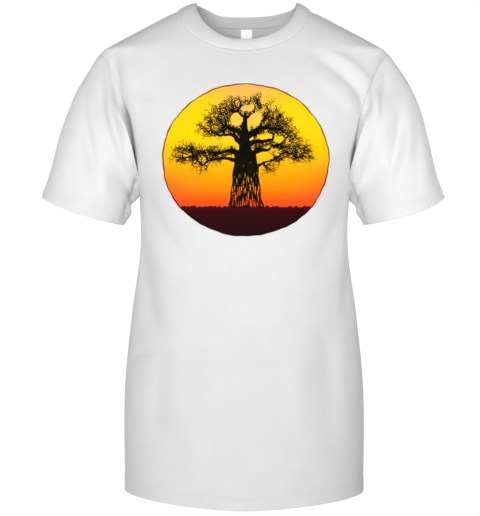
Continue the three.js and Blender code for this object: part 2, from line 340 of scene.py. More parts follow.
def hold(worn):
    """How firmly each point is kept near the worn shape, 0 to 1."""
    x, y, z = worn.T
    body = np.zeros(VERTICES, bool)
    body[I_FRONT.ravel()] = body[I_BACK.ravel()] = True
    seam = np.concatenate([g[-1, SHOULDER_COLS : COLS + 1 - SHOULDER_COLS] for g in (I_FRONT, I_BACK)])
    from_neck = np.sqrt(((worn[:, None] - worn[None, seam[::2]]) ** 2).sum(2)).min(1)
    firm = (0.25 + 0.14 * np.clip((HEM_Z + 60 - z) / 60, 0, 1)
            + 0.2 * np.clip((z + 120) / 60, 0, 1) * np.clip((np.abs(x) - 120) / 60, 0, 1)
            + 0.3 * np.clip((150 - np.hypot(x, z - PRINT_Z)) / 40, 0, 1) * (y < 0)
            + 0.45 * np.clip((60 - from_neck) / 45, 0, 1))
    along = DOWN_SLEEVE[1:]
    sleeve = mix(0.12, 0.5, UP_SLEEVE**1.2) * (0.75 + 0.25 * along) + 0.45 * along**4
    sleeve = np.clip(sleeve, 0, 0.9)
    for index in (I_LEFT, I_RIGHT):
        firm[index[1:]] = sleeve
    firm[body & (np.abs(z - ARMPIT_Z) < 50) & (np.abs(x) > 135)] *= 0.6
    firm[seam] = 1
    return firm


def drape():
    """Settles the welded shirt on the wearer with cloth simulation; returns its points."""
    worn = gathered(garment())
    cut = gathered(garment(SWING, cut_ease, 1.03))
    faces = np.vstack([quads_of(I_FRONT), quads_of(I_BACK, flip=True),
                       quads_of(I_LEFT, ring=True, flip=True), quads_of(I_RIGHT, ring=True)])
    shirt = new_mesh("drape", cut, faces)
    shirt.shape_key_add(name="cut")
    key = shirt.shape_key_add(name="worn")
    key.data.foreach_set("co", (worn * MM).astype(np.float32).ravel())
    for when, value in ((1, 0.0), (2, 0.0), (LOWERED, 1.0), (SETTLED, 1.0)):
        key.value = value
        key.keyframe_insert("value", frame=when)
    wearer = [torso(), upper_arm(False), upper_arm(True)]
    for part in wearer:
        part.modifiers.new("skin", "COLLISION")
        part.collision.thickness_outer = 0.003
        part.collision.cloth_friction = 1
        part.collision.use_culling = True
    group = shirt.vertex_groups.new(name="hold")
    for i, weight in enumerate(hold(worn)):
        group.add([i], float(weight), "REPLACE")
    cloth = shirt.modifiers.new("cloth", "CLOTH")
    s = cloth.settings
    s.quality, s.mass, s.air_damping = 7, 0.005, 2
    s.tension_stiffness = s.compression_stiffness = 40
    s.shear_stiffness, s.bending_stiffness = 12, 0.3
    s.tension_damping = s.compression_damping = 10
    s.shear_damping, s.bending_damping = 5, 0.5
    s.rest_shape_key = shirt.data.shape_keys.key_blocks["cut"]
    s.vertex_group_mass, s.pin_stiffness = "hold", 0.008
    c = cloth.collision_settings
    c.use_collision, c.use_self_collision = True, False
    c.distance_min, c.collision_quality = 0.004, 3
    cloth.point_cache.frame_start, cloth.point_cache.frame_end = 1, SETTLED
    SCENE.frame_start, SCENE.frame_end = 1, SETTLED
    for when in range(1, SETTLED + 1):
        SCENE.frame_set(when)
    settled = shirt.evaluated_get(bpy.context.evaluated_depsgraph_get()).data
    points = np.zeros(VERTICES * 3, np.float32)
    settled.vertices.foreach_get("co", points)
    for thing in [shirt] + wearer:
        mesh = thing.data
        bpy.data.objects.remove(thing)
        bpy.data.meshes.remove(mesh)
    SCENE.frame_set(1)
    return worn, points.reshape(-1, 3).astype(float) / MM


WORN, SETTLED_POINTS = drape()


UNDERARM_TOUCH, FRONT_FORWARD = 12, 13


def blurred(field, passes, ring=False):
    """A field of moves on a grid, with its finest ripples taken out."""
    for _ in range(passes):
        for axis in (0, 1):
            if axis == 1 and ring:
                near = np.roll(field, 1, axis), np.roll(field, -1, axis)
            else:
                size = field.shape[axis]
                wide = np.concatenate([field.take([0], axis), field, field.take([-1], axis)], axis)
                near = wide.take(range(0, size), axis), wide.take(range(2, size + 2), axis)
            field = 0.5 * field + 0.25 * (near[0] + near[1])
    return field


def settled_shape(worn, settled):
    """The worn shape moved by the drape: little on the chest and neck, and without sideways bulges."""
    move = settled - worn
    x, y, z = worn.T
    flat = smooth(160, 95, np.abs(x)) * smooth(-470, -380, z) * (y < 0)
    yoke = 0.9 * smooth(ARMPIT_Z - 15, ARMPIT_Z + 50, z)
    keep = 1 - 0.85 * np.maximum(np.maximum(flat, yoke), smooth(-110, -40, z))
    result = worn + move * keep[:, None]
    for index in (I_BACK, I_FRONT):
        result[index] = worn[index] + blurred(result[index] - worn[index], 2)
    result[:, 0] -= np.sign(x) * np.maximum(0, np.abs(result[:, 0]) - np.abs(x)) * 0.95
    rows = np.arange(SLEEVE_ROWS + 1)[:, None, None]
    for index, sign in ((I_LEFT, 1), (I_RIGHT, -1)):
        soft = blurred(move[index], 3, ring=True) * 0.45 * smooth(0, 5, rows)
        seam = result[index[0]] - worn[index[0]]
        # The underarm lies against the body, and the front comes forward over the armhole seam.
        under = smooth(0.62, 0.15, UP_SLEEVE) * smooth(0.0, 0.22, DOWN_SLEEVE)
        moved = worn[index] + soft + seam[None] * smooth(5, 0, rows)
        moved[..., 0] -= sign * under * mix(UNDERARM_TOUCH, 3, smooth(0.7, 1.0, DOWN_SLEEVE))
        front_low = smooth(0.06, 0.2, UP_SLEEVE) * smooth(0.62, 0.4, UP_SLEEVE) * IN_FRONT
        moved[..., 1] -= (FRONT_FORWARD * front_low * smooth(0, 0.12, DOWN_SLEEVE)
                          * smooth(0.6, 0.2, DOWN_SLEEVE))
        # The front of the cuff dips, and its outer corner stands off the arm.
        moved[..., 2] -= (10 if sign > 0 else 7.5) * np.sin(np.pi * UP_SLEEVE) * IN_FRONT * DOWN_SLEEVE**2
        moved[..., 0] -= 3 * (sign < 0) * smooth(0.6, 1.0, UP_SLEEVE) * smooth(0.3, 0.8, DOWN_SLEEVE)
        result[index[1:]] = moved[1:]
    return result


POINTS = settled_shape(WORN, SETTLED_POINTS)

# ---- cloth with thickness


def knots(at, count, ring=False):
    """Catmull-Rom weights on a row of points, at fractional places along it."""
    table = np.zeros((len(at), count))
    base = np.clip(np.floor(at).astype(int), 0, count - (1 if ring else 2))
    t = np.asarray(at) - base
    parts = ((-t + 2 * t**2 - t**3) / 2, (2 - 5 * t**2 + 3 * t**3) / 2,
             (t + 4 * t**2 - 3 * t**3) / 2, (t**3 - t**2) / 2)
    here = np.arange(len(at))
    for k, w in enumerate(parts):
        i = base + k - 1
        if ring:
            np.add.at(table, (here, i % count), w)
            continue
        low, high = i < 0, i >= count
        np.add.at(table, (here, np.clip(i, 0, count - 1)), np.where(low | high, 2 * w, w))
        np.add.at(table, (here[low], np.full(low.sum(), 1)), -w[low])
        np.add.at(table, (here[high], np.full(high.sum(), count - 2)), -w[high])
    return table


def finer(grid, rows, cols, ring=False):
    """The grid at fractional rows and columns, on smooth curves through its points."""
    up, across = knots(rows, grid.shape[0]), knots(cols, grid.shape[1], ring)
    return np.einsum("ri,ijk,cj->rck", up, grid, across)


def slopes(grid, axis, ring=False):
    if ring:
        return np.roll(grid, -1, axis) - np.roll(grid, 1, axis)
    return np.gradient(grid, axis=axis)


def normals(grid, ring=False):
    n = np.cross(slopes(grid, 1, ring), slopes(grid, 0))
    return n / np.maximum(np.linalg.norm(n, axis=2, keepdims=True), 1e-9)


def run_length(grid, axis, from_end=False):
    """Distance along the cloth from its first (or last) row or column."""
    step = np.linalg.norm(np.diff(grid, axis=axis), axis=2)
    total = np.concatenate([np.zeros_like(np.take(step, [0], axis)), np.cumsum(step, axis)], axis)
    return np.take(total, [-1], axis) - total if from_end else total


def groove(distance, where, width, deep):
    return -deep * np.exp(-(((distance - where) / width) ** 2))


def hem_relief(distance):
    """Rise of the outer and fall of the inner surface over a turned-up hem, by distance from its fold."""
    turned = 1 - smooth(HEM_DEPTH - 1.0, HEM_DEPTH + 1.2, distance)
    outer = 0.55 * turned
    for where, deep in zip(HEM_STITCHES, (0.5, 0.3)):
        outer = outer + groove(distance, where, 1.2, deep)
    outer += 0.25 * np.exp(-(((distance - 21.5) / 1.6) ** 2))
    return outer, -CLOTH - 1.1 * turned


def edge_round(distance, size):
    """0 at the very edge, 1 from `size` on, so that the fold is round."""
    t = np.clip(distance / size, 0, 1)
    return np.sqrt(1 - (1 - t) ** 2)


def rounded(outer, inner, distance, size=1.5):
    """The two faces of a layer, brought together at an edge."""
    middle = (outer + inner) / 2
    open_by = edge_round(distance, size)
    return middle + (outer - middle) * open_by, middle + (inner - middle) * open_by


def shell(name, grid, outer, inner, ring=False, flip=False):
    """A closed layer: the grid moved along its normals by outer and by inner, and joined at its edges."""
    n = normals(grid, ring)
    if flip:
        n = -n
    rows, cols = grid.shape[:2]
    points = np.concatenate([(grid + n * rise[..., None]).reshape(-1, 3) for rise in (outer, inner)])
    top = np.arange(rows * cols).reshape(rows, cols)
    low = top + rows * cols
    faces = [quads_of(top, ring, flip), quads_of(low, ring, not flip)]

    def wall(a, b, closed):
        a2, b2 = (np.roll(a, -1), np.roll(b, -1)) if closed else (a[1:], b[1:])
        a1, b1 = (a, b) if closed else (a[:-1], b[:-1])
        quads = np.stack([b1, b2, a2, a1], -1)
        return quads[:, ::-1] if flip else quads

    faces += [wall(top[0], low[0], ring), wall(top[-1], low[-1], ring)[:, ::-1]]
    if not ring:
        faces += [wall(top[:, 0], low[:, 0], False)[:, ::-1], wall(top[:, -1], low[:, -1], False)]
    return new_mesh(name, points, np.vstack(faces))


def panel_places():
    """Rows and columns of a finished body panel, close together at its edges."""
    last = BODY_ROWS + YOKE_ROWS
    rows = np.concatenate([[0, 0.03, 0.08, 0.15], np.arange(0.3, 3.0, 0.17),
                           np.arange(3.0, last - 1.2, 1 / 3),
                           last - np.array([1.2, 1.0, 0.8, 0.6, 0.42, 0.28, 0.16, 0.08, 0.03, 0])])
    near = np.array([0, 0.05, 0.12, 0.22, 0.36, 0.55, 0.8])
    cols = np.concatenate([near, np.arange(1.1, COLS - 1, 1 / 3), (COLS - near)[::-1]])
    return rows, cols


SOCKET_X, SOCKET_Z = 165, -150  # the middle of an armhole


def dip_seams(grid, from_top, from_side, armhole):
    """Draws the cloth in along its seams, in the same direction on both sides of a seam."""
    x, z = grid[..., 0], grid[..., 2]
    socket = np.stack([np.sign(x) * SOCKET_X, 0 * x, 0 * x + SOCKET_Z], -1) - grid
    socket /= np.linalg.norm(socket, axis=2, keepdims=True)
    sideways = np.stack([-np.sign(x), 0 * x, 0 * x], -1)
    # In front, the lower part of each armhole is a deep, wide fold.
    deep = np.where(x < 0, smooth(-130, -170, z), smooth(-185, -225, z)) * (grid[..., 1] < 20)
    at_side = np.exp(-((from_side / np.where(armhole, mix(2.2, 6.5, deep), 2.2)) ** 2))[..., None]
    at_top = np.exp(-((from_top / 2.2) ** 2))[..., None]
    move = np.where(armhole[..., None], socket * mix(0.8, 17, deep)[..., None], sideways * 0.35) * at_side
    return grid + (move + np.array([0, 0, -1.0]) * 0.8 * at_top)


def hem_lift(grid):
    """The hem rises towards the sides and hangs a little lower in the middle."""
    reach = np.abs(grid[..., 0]) / SECTIONS[0][1]
    rise = 4.0 * smooth(0.45, 0.95, reach) - 4.4 * smooth(0.6, 0.0, reach)
    grid[..., 2] += rise * smooth(HEM_Z + 130, HEM_Z, grid[..., 2])
    return grid


FOLDS = [  # soft creases in front: where each runs (x, z), half width, height (a valley below 0)
    ([(-232, -118), (-229, -170), (-218, -225), (-206, -285)], 8.5, -4.2),
    ([(-220, -120), (-216, -170), (-205, -228), (-194, -282)], 8.5, 3.0),
    ([(-208, -122), (-202, -160), (-190, -205), (-178, -248)], 7.5, -4.4),
    ([(-198, -100), (-192, -150), (-179, -195), (-169, -235)], 6, 3.6),
    ([(-188, -72), (-186, -100), (-183, -135), (-176, -170)], 6.5, -4.4),
    ([(-198, -70), (-196, -100), (-191, -135)], 7, 3.0),
    ([(-172, -76), (-168, -112), (-158, -150), (-150, -190)], 9, 3.0),
    ([(-158, -110), (-146, -128), (-128, -140)], 8, -2.6),
    ([(-155, -250), (-160, -272), (-167, -297), (-177, -332)], 5.5, -15.0),
    ([(100, -78), (132, -98), (162, -122), (177, -150), (180, -190)], 8, -5.0),
    ([(112, -66), (146, -84), (176, -110), (189, -142), (191, -180)], 8, 3.4),
    ([(100, -104), (130, -126), (154, -152), (162, -190)], 10, 2.8),
    ([(206, -88), (203, -130), (190, -185), (172, -240)], 6.5, -4.4),
    ([(228, -150), (222, -195), (210, -245)], 7.5, -4.8),
    ([(240, -150), (236, -195), (226, -245), (218, -285)], 9, 3.4),
    ([(252, -180), (250, -225), (246, -275)], 9, -2.4),
    ([(153, -256), (158, -276), (166, -300), (178, -332)], 5.5, -11.0),
    ([(-150, -255), (-135, -290), (-112, -330), (-80, -372)], 11, -3.6),
    ([(-152, -300), (-132, -350), (-100, -400)], 12, 3.2),
    ([(-158, -330), (-146, -390), (-128, -450)], 11, -3.6),
    ([(-172, -520), (-150, -500), (-120, -490)], 9, -2.8),
    ([(150, -262), (138, -300), (118, -345), (92, -390)], 11, -3.4),
    ([(153, -305), (140, -360), (120, -415)], 12, 3.0),
    ([(158, -350), (150, -410), (136, -470)], 10, -3.6),
    ([(-30, -420), (-42, -500), (-48, -590)], 20, 2.6),
    ([(60, -450), (70, -530), (74, -620)], 22, 2.6),
    ([(112, -470), (120, -550), (122, -640)], 15, -2.8),
    ([(-110, -480), (-122, -560), (-126, -650)], 15, -3.2),
]


def folded(grid, normal, steps=40):
    """Height of FOLDS over the cloth that faces forward."""
    height = np.zeros(grid.shape[:2])
    x, z = grid[..., 0], grid[..., 2]
    for line, half, rise in FOLDS:
        path = knots(np.linspace(0, len(line) - 1, steps), len(line)) @ np.array(line, float)
        gap = np.full(x.shape, 1e9)
        share = np.zeros(x.shape)
        for k, (a, b) in enumerate(path):
            d = np.hypot(x - a, z - b)
            share = np.where(d < gap, k / (steps - 1), share)
            gap = np.minimum(gap, d)
        height += rise * np.exp(-((gap / half) ** 2)) * np.sin(np.pi * np.clip(share, 0.02, 0.98)) ** 0.6
    return height * smooth(0.05, 0.5, -normal[..., 1])


def body_panel(name, index, other, side):
    """A panel from the hem's fold to the shoulder and neck seams; also its grid and outer rise."""
    rows, cols = panel_places()
    coarse = POINTS[index]
    # Below the armpit the next column is the first of the other panel, so the side stays round.
    left = 2 * coarse[:, :1] - coarse[:, 1:2]
    right = 2 * coarse[:, -1:] - coarse[:, -2:-1]
    low = slice(0, BODY_ROWS + 1)
    left[low], right[low] = POINTS[other][low, 1:2], POINTS[other][low, -2:-1]
    grid = finer(np.concatenate([left, coarse, right], 1), rows, cols + 1)
    flip = side == "back"
    from_hem = run_length(grid, 0)
    from_top = run_length(grid, 0, from_end=True)
    from_side = np.minimum(run_length(grid, 1), run_length(grid, 1, from_end=True))
    armhole = np.broadcast_to((rows > BODY_ROWS)[:, None], from_hem.shape)
    across = np.abs(cols - COLS / 2)[None, :]
    neck = (across < NECK_COLS) & (rows > BODY_ROWS)[:, None]
    grid = hem_lift(dip_seams(grid, np.where(neck, 1e3, from_top), from_side, armhole))
    # The columns change their spacing below the neck's corners; even them out there.
    corner = np.exp(-(((across - NECK_COLS) / 3.0) ** 2)) * smooth(2, 14, from_top)
    corner = corner * smooth(BODY_ROWS - 12, BODY_ROWS, rows)[:, None]
    for _ in range(30):
        even = (grid[:, :-2] + grid[:, 2:]) / 2
        grid[:, 1:-1] += (0.5 * corner[:, 1:-1, None]) * (even - grid[:, 1:-1])
    if side == "front":
        n = normals(grid)
        rise = folded(grid, n) * np.where(armhole, smooth(0, 8, from_side), 1)
        grid = grid + n * rise[..., None]
    outer, inner = hem_relief(from_hem)
    roll = np.where(neck, 1.1 * np.clip(1 - from_top / 3.5, 0, 1) ** 2, 0)
    seam = groove(from_top, NECK_STITCH, 1.1, 0.35) + 0.25 * smooth(9.5, 6, from_top)
    outer = outer + np.where(neck, seam, 0) - roll
    outer, inner = rounded(outer, inner - roll, from_hem)
    return shell(name, grid, outer, inner, flip=flip), grid, outer


def sleeve_piece(name, index, mirror):
    """A sleeve from the armhole seam to the cuff's fold; also its grid and outer rise."""
    last = SLEEVE_ROWS
    rows = np.concatenate([[0, 0.06, 0.16, 0.3, 0.5, 0.75], np.arange(1, last - 3, 0.25),
                           np.arange(last - 3, last - 0.2, 0.14), last - np.array([0.15, 0.08, 0.03, 0])])
    cols = np.arange(0, index.shape[1], 0.25)
    grid = finer(POINTS[index], rows, cols, ring=True)
    from_cuff = run_length(grid, 0, from_end=True)
    from_arm = run_length(grid, 0)
    far = np.full(from_arm.shape, 1e3)
    grid = dip_seams(grid, far, from_arm, np.ones(from_arm.shape, bool))
    n = normals(grid, ring=True) * (1 if mirror else -1)
    grid = grid + n * (folded(grid, n) * smooth(0, 8, from_arm))[..., None]
    outer, inner = rounded(*hem_relief(from_cuff), from_cuff)
    return shell(name, grid, outer, inner, ring=True, flip=not mirror), grid, outer


front, front_grid, front_rise = body_panel("shirt_front", I_FRONT, I_BACK, "front")
back, back_grid, back_rise = body_panel("shirt_back", I_BACK, I_FRONT, "back")
sleeve_left, left_grid, left_rise = sleeve_piece("shirt_sleeve_left", I_LEFT, False)
sleeve_right, right_grid, right_rise = sleeve_piece("shirt_sleeve_right", I_RIGHT, True)

# ---- neck rib, tape and label

RIBS = 270


def neck_seam(angle, side_front):
    """Points of the neck seam; angle is 0 or pi in the middle of a side."""
    x = NECK_HALF * np.sin(angle)
    z = -np.where(side_front, NECK_DROP["front"], NECK_DROP["back"]) * np.abs(np.cos(angle))
    y = np.where(side_front, depth(x, z, "front"), depth(x, z, "back"))
    return np.stack([x, y, z], -1)


def rib_collar():
    """The neck band: double rib knit, thick and rounded at its free edge."""
    around = RIBS * 6
    a = np.arange(around) / around * 2 * np.pi  # 0 at the middle of the front
    facing = np.cos(a) > 0
    seam = neck_seam(a, facing)
    lift = mix(RIB_LIFT[0], RIB_LIFT[1], np.abs(np.cos(a)) ** 1.2)
    # Behind, the band stands a little higher, and most at its sides.
    lift += 2 * smooth(0.2, 0.9, -np.cos(a))
    more = mix(2, 6, smooth(-0.2, 0.2, -np.sin(a)))
    lift += more * smooth(0.5, 0.9, np.abs(np.sin(a))) * smooth(0.0, 0.3, -np.cos(a))
    shift = np.stack([7 * smooth(0.2, 0.9, -np.sin(a)), 0 * a, lift], -1)
    free = seam * [RIB_SHRINK[0], RIB_SHRINK[1], 1] + shift
    run = free - seam
    along = np.roll(seam, -1, 0) - np.roll(seam, 1, 0)
    out = np.cross(along, run)
    out /= np.linalg.norm(out, axis=1, keepdims=True)
    half = 1.35  # half the band's thickness
    # Section: up the outside, round the free edge, and down the inside.
    section_points = [(-0.06, 0.2), (0.02, 0.85), (0.12, 1.1), (0.3, 1.25), (0.5, 1.3), (0.7, 1.25),
                      (0.85, 1.1), (0.94, 0.8), (0.985, 0.42), (1.0, 0.0), (0.985, -0.42), (0.94, -0.8),
                      (0.85, -1.05), (0.6, -1.15), (0.3, -1.1), (0.08, -1.0), (-0.06, -0.6)]
    rib = 0.5 + 0.5 * np.cos(a * RIBS)
    loops = []
    for v, w in section_points:
        fade = smooth(-0.02, 0.12, v) * smooth(1.02, 0.9, v)
        thick = w * half * 0.92 + np.sign(w) * 0.2 * rib * fade
        bow = 0.8 * math.sin(math.pi * min(max(v, 0), 1))
        loops.append(seam + run * v + out * (thick + bow - 0.9)[:, None])
    grid = np.array(loops)
    index = np.arange(grid.shape[0] * around).reshape(grid.shape[0], around)
    closed = np.vstack([index, index[:1]])
    return new_mesh("collar_rib", grid.reshape(-1, 3), quads_of(closed, ring=True))


collar = rib_collar()


def tape_and_label():
    """Cotton tape over the back neck seam, and a blank satin label folded under it."""
    a = np.linspace(-0.62, 0.62, 160) * np.pi / 2 + np.pi
    rows = []
    for drop in np.linspace(10.5, -1.0, 9):
        seam = neck_seam(a, np.cos(a) > 0)
        x, z = seam[:, 0], seam[:, 2] - drop
        y = depth(x, z, "back") - 2.6
        rows.append(np.stack([x * 0.965, y, z], -1))
    grid = np.array(rows)
    edge = np.minimum(run_length(grid, 0), run_length(grid, 0, from_end=True))
    half = 0.35 * edge_round(edge, 0.5)
    tape = shell("neck_tape_strip", grid, half + groove(edge, 1.6, 0.5, 0.25), -half)
    width, drop = LABEL_HIGH[0] - LABEL_LOW[0], LABEL_HIGH[2] - LABEL_LOW[2]
    u, v = np.meshgrid(np.linspace(-0.5, 0.5, 25), np.linspace(0, 1, 33))
    x = 4 + width * 0.95 * u + 0.4 * np.sin(v * 3)
    curl = 1.2 * v**2 + 0.5 * np.cos(u * np.pi * 2) * v
    z = LABEL_HIGH[2] - 1 - (drop - 1) * v
    y = (LABEL_LOW[1] + LABEL_HIGH[1]) / 2 - curl - 0.6
    grid = np.stack([x, y, z], -1)[::-1]
    edge = np.minimum(np.minimum(run_length(grid, 0), run_length(grid, 0, from_end=True)),
                      np.minimum(run_length(grid, 1), run_length(grid, 1, from_end=True)))
    half = 0.3 * edge_round(edge, 0.3)
    label = shell("blank_label", grid, half + groove(edge, 1.4, 0.35, 0.08), -half)
    return tape, label


tape, label = tape_and_label()

# ---- stitching


def stitch_rows(name, paths, pitch=3.2, length=2.5, radius=0.28):
    """Joined thread loops: small rounded bars laid end to end along paths of (points, normals)."""
    # Stations along a bar: place, size of the ring there, and how far it stands off the cloth.
    stations = [(-0.5, 0.15, -0.9), (-0.42, 0.75, -0.3), (-0.15, 1.0, 0.1), (0.15, 1.0, 0.1),
                (0.42, 0.75, -0.3), (0.5, 0.15, -0.9)]
    corners = 6
    turn = (np.arange(corners) / corners * 2 * np.pi)[:, None]
    points = []
    for path, normal in paths:
        run = np.concatenate([[0], np.cumsum(np.linalg.norm(np.diff(path, axis=0), axis=1))])
        centres = np.arange(pitch / 2, run[-1], pitch)

        def at(places, values):
            return np.stack([np.interp(places, run, values[:, i]) for i in range(3)], -1)

        c, n = at(centres, path), at(centres, normal)
        t = at(centres + 0.5, path) - at(centres - 0.5, path)
        t /= np.maximum(np.linalg.norm(t, axis=1, keepdims=True), 1e-9)
        n -= t * (n * t).sum(1, keepdims=True)
        n /= np.maximum(np.linalg.norm(n, axis=1, keepdims=True), 1e-9)
        b = np.cross(t, n)
        for k in range(len(c)):
            points.append(np.concatenate([
                c[k] + t[k] * s * length + n[k] * (radius * 0.5 + h * radius)
                + radius * size * (np.cos(turn) * n[k] + np.sin(turn) * b[k])
                for s, size, h in stations]))
    per_bar = corners * len(stations)
    sides = quads_of(np.arange(per_bar).reshape(len(stations), corners), ring=True)
    caps = np.array([[0, 1, 2, 3], [0, 3, 4, 5], [33, 32, 31, 30], [35, 34, 33, 30]])
    one = np.vstack([sides, caps])[:, ::-1]
    bars = np.arange(len(points)) * per_bar
    return new_mesh(name, np.concatenate(points), (bars[:, None, None] + one).reshape(-1, 4))


def line_at(grid, rise, distance, where, flip, ring=False):
    """The line on a finished surface at a distance from one edge, column by column, with its normals."""
    n = normals(grid, ring) * (-1 if flip else 1)
    surface = grid + n * rise[..., None]
    order = 1 if distance[-1, 0] > distance[0, 0] else -1
    def read(field):
        return np.array([[np.interp(where, distance[::order, c], field[::order, c, i]) for i in range(3)]
                         for c in range(grid.shape[1])])

    path, normal = read(surface), read(n)
    if ring:
        path, normal = np.vstack([path, path[:1]]), np.vstack([normal, normal[:1]])
    return path, normal


hem_lines, cuff_lines, neck_lines = [], [], []
for grid, rise, flip in ((front_grid, front_rise, False), (back_grid, back_rise, True)):
    from_hem = run_length(grid, 0)
    hem_lines += [line_at(grid, rise, from_hem, where, flip) for where in HEM_STITCHES]
    from_top = run_length(grid, 0, from_end=True)
    neck = np.abs(panel_places()[1] - COLS / 2) < NECK_COLS
    neck_lines += [line_at(grid[:, neck], rise[:, neck], from_top[:, neck], NECK_STITCH, flip)]
for grid, rise, flip in ((left_grid, left_rise, True), (right_grid, right_rise, False)):
    from_cuff = run_length(grid, 0, from_end=True)
    cuff_lines += [line_at(grid, rise, from_cuff, where, flip, ring=True) for where in HEM_STITCHES]
hem_thread = stitch_rows("hem_stitching", hem_lines)
cuff_thread = stitch_rows("cuff_stitching", cuff_lines)
neck_thread = stitch_rows("neck_stitching", neck_lines)

# ---- the print

FILM = 0.3  # thickness of an ink
chest = BVHTree.FromObject(front, bpy.context.evaluated_depsgraph_get())


def on_chest(x, z, lift):
    """The point of the chest over (x, z) of the picture, and its rise off the cloth."""
    start = Vector(((x + PRINT_X) * MM, -1, (z + PRINT_Z) * MM))
    hit, normal, _, _ = chest.ray_cast(start, Vector((0, 1, 0)))
    return np.array(hit) / MM + np.array(normal) * lift


def lay(name, flat, faces, lift):
    """Wraps a flat drawing of (x, z) points, in four-cornered faces, onto the chest as a closed film."""
    top = np.array([on_chest(x, z, lift) for x, z in flat])
    low = top + [0, FILM, 0]
    edges = dict.fromkeys((a, b) for face in faces for a, b in zip(face, np.roll(face, -1)))
    rim = np.array([(a, b) for a, b in edges if (b, a) not in edges])
    n = len(flat)
    walls = np.stack([rim[:, 1], rim[:, 0], rim[:, 0] + n, rim[:, 1] + n], -1)
    piece = new_mesh(name, np.concatenate([top, low]), np.vstack([faces, faces[:, ::-1] + n, walls]))
    layer = piece.data.uv_layers.new(name="picture")
    loops = np.zeros(len(piece.data.loops), np.int32)
    piece.data.loops.foreach_get("vertex_index", loops)
    flat2 = np.concatenate([flat, flat])[loops]
    uv = np.stack([flat2[:, 0] / (2 * PRINT_HALF) + 0.5, flat2[:, 1] / (2 * PRINT_RISE) + 0.5], -1)
    layer.data.foreach_set("uv", uv.astype(np.float32).ravel())
    return piece


def rim_wobble(angle):
    """The brushed edge of the disc, as a share of its radius."""
    return (1 + 0.004 * np.sin(7 * angle + 1) + 0.003 * np.sin(17 * angle)
            + 0.002 * np.sin(41 * angle + 2) - 0.003)


def ellipse(angle, half, rise):
    """Points of the disc's wobbling outline, or of one inside it."""
    return np.stack([half * np.cos(angle) * rim_wobble(angle), rise * np.sin(angle) * rim_wobble(angle)], -1)


def disc_faces(rings, around):
    return quads_of(np.arange(rings * around).reshape(rings, around), ring=True, flip=True)


def sky():
    around, rings = 240, 44
    a = np.arange(around) / around * 2 * np.pi
    r = np.linspace(0.02, 1, rings)[:, None]
    flat = ellipse(a, r * PRINT_HALF, r * PRINT_RISE)
    fan = [(k, k + 1, k + 2, 0) for k in range(1, around - 2, 2)]
    return lay("picture_sky", flat.reshape(-1, 2), np.vstack([disc_faces(rings, around), fan]), 0.12)


def outline():
    """The dark, brushed line round the disc."""
    around, every = 360, 6
    a = np.arange(around) / around * 2 * np.pi
    rng = random.Random(3)
    wide = np.array([rng.uniform(1.1, 2.3) for _ in range(around // every)])
    wide = np.interp(np.arange(around), np.arange(0, around, every), wide, period=around)
    flat = [ellipse(a, PRINT_HALF + 0.2 - wide * k, PRINT_RISE + 0.2 - wide * k) for k in (1, 0)]
    return lay("picture_edge", np.array(flat).reshape(-1, 2), disc_faces(2, around), 0.2)


def ground():
    """Dark land with a low line of bushes along its top."""
    rng = random.Random(8)
    edge = PRINT_HALF * math.sqrt(1 - (HORIZON / PRINT_RISE) ** 2)
    bushes = [(rng.uniform(-edge, edge), rng.uniform(1.5, 4.5), rng.uniform(0.6, 2.6)) for _ in range(46)]
    x = np.linspace(-edge + 0.8, edge - 0.8, 300)
    top = np.full_like(x, HORIZON)
    for c, w, h in bushes:
        top = np.maximum(top, HORIZON + h * np.sqrt(np.maximum(0, 1 - ((x - c) / w) ** 2)))
    top += np.array([rng.uniform(-0.35, 0.45) for _ in x])
    low = -PRINT_RISE * np.sqrt(np.maximum(0, 1 - (x / PRINT_HALF) ** 2)) * 0.994
    top = np.maximum(np.minimum(top, PRINT_RISE * np.sqrt(1 - (x / PRINT_HALF) ** 2)), low + 0.5)
    bands = 14
    t = np.linspace(0, 1, bands)[:, None]
    flat = np.stack([np.broadcast_to(x, (bands, len(x))), mix(low, top, t)], -1)
    index = np.arange(bands * len(x)).reshape(bands, -1)
    return lay("picture_ground", flat.reshape(-1, 2), quads_of(index), 0.26)


# ---- tree

CLUMPS = [  # twigs gather here: the middle of each mass, and its half width and height
    (-76, 13, 18, 9), (-56, 6, 17, 8), (-90, 1, 10, 5), (-60, -9, 11, 5), (-50, 40, 13, 10),
    (-37, 55, 13, 11), (-22, 67, 14, 10), (-6, 75, 12, 6), (13, 74, 13, 8), (30, 63, 14, 11),
    (44, 48, 14, 11), (57, 32, 14, 11), (72, 14, 15, 8), (54, 10, 13, 8), (84, 5, 9, 4), (30, -11, 7, 5),
    (40, 37, 11, 9), (-36, 32, 9, 7), (-25, 46, 8, 9), (26, 43, 9, 7), (0, 58, 7, 9), (-35, 2, 9, 6),
    (40, 0, 10, 6), (-20, 12, 9, 7), (-16, 38, 8, 6), (20, 19, 9, 6), (17, 38, 8, 6), (36, 19, 10, 7),
    (-35, 14, 9, 5), (10, 64, 8, 6), (-12, 66, 8, 6), (-72, 2, 13, 5), (68, 3, 13, 5), (-11, 34, 9, 6),
    (11, 32, 10, 6), (-8, 46, 5, 6), (-12, 8, 8, 5), (14, 14, 8, 5), (-30, 40, 9, 6), (33, 42, 11, 8),
    (47, 20, 11, 6), (-47, 8, 11, 5), (22, 52, 6, 6), (-27, 55, 8, 8),
]
WINDOWS = [  # twigs keep out of these gaps of sky, which are given in the same way
    (-13, 55, 8, 9), (14, 55, 9, 9), (3, 71, 10, 4), (-25, 25, 11, 7), (24, 2, 9, 8), (28, 30, 10, 4),
    (-46, 24, 10, 5), (-9, 16, 3, 6), (46, 26, 7, 3),
]
TRUNK_CORE = [(0, -8), (-1, 6), (-1, 16), (-2, 28), (-2, 42), (-1, 54), (-1, 64)], [6, 20, 17, 14, 9, 6, 3]
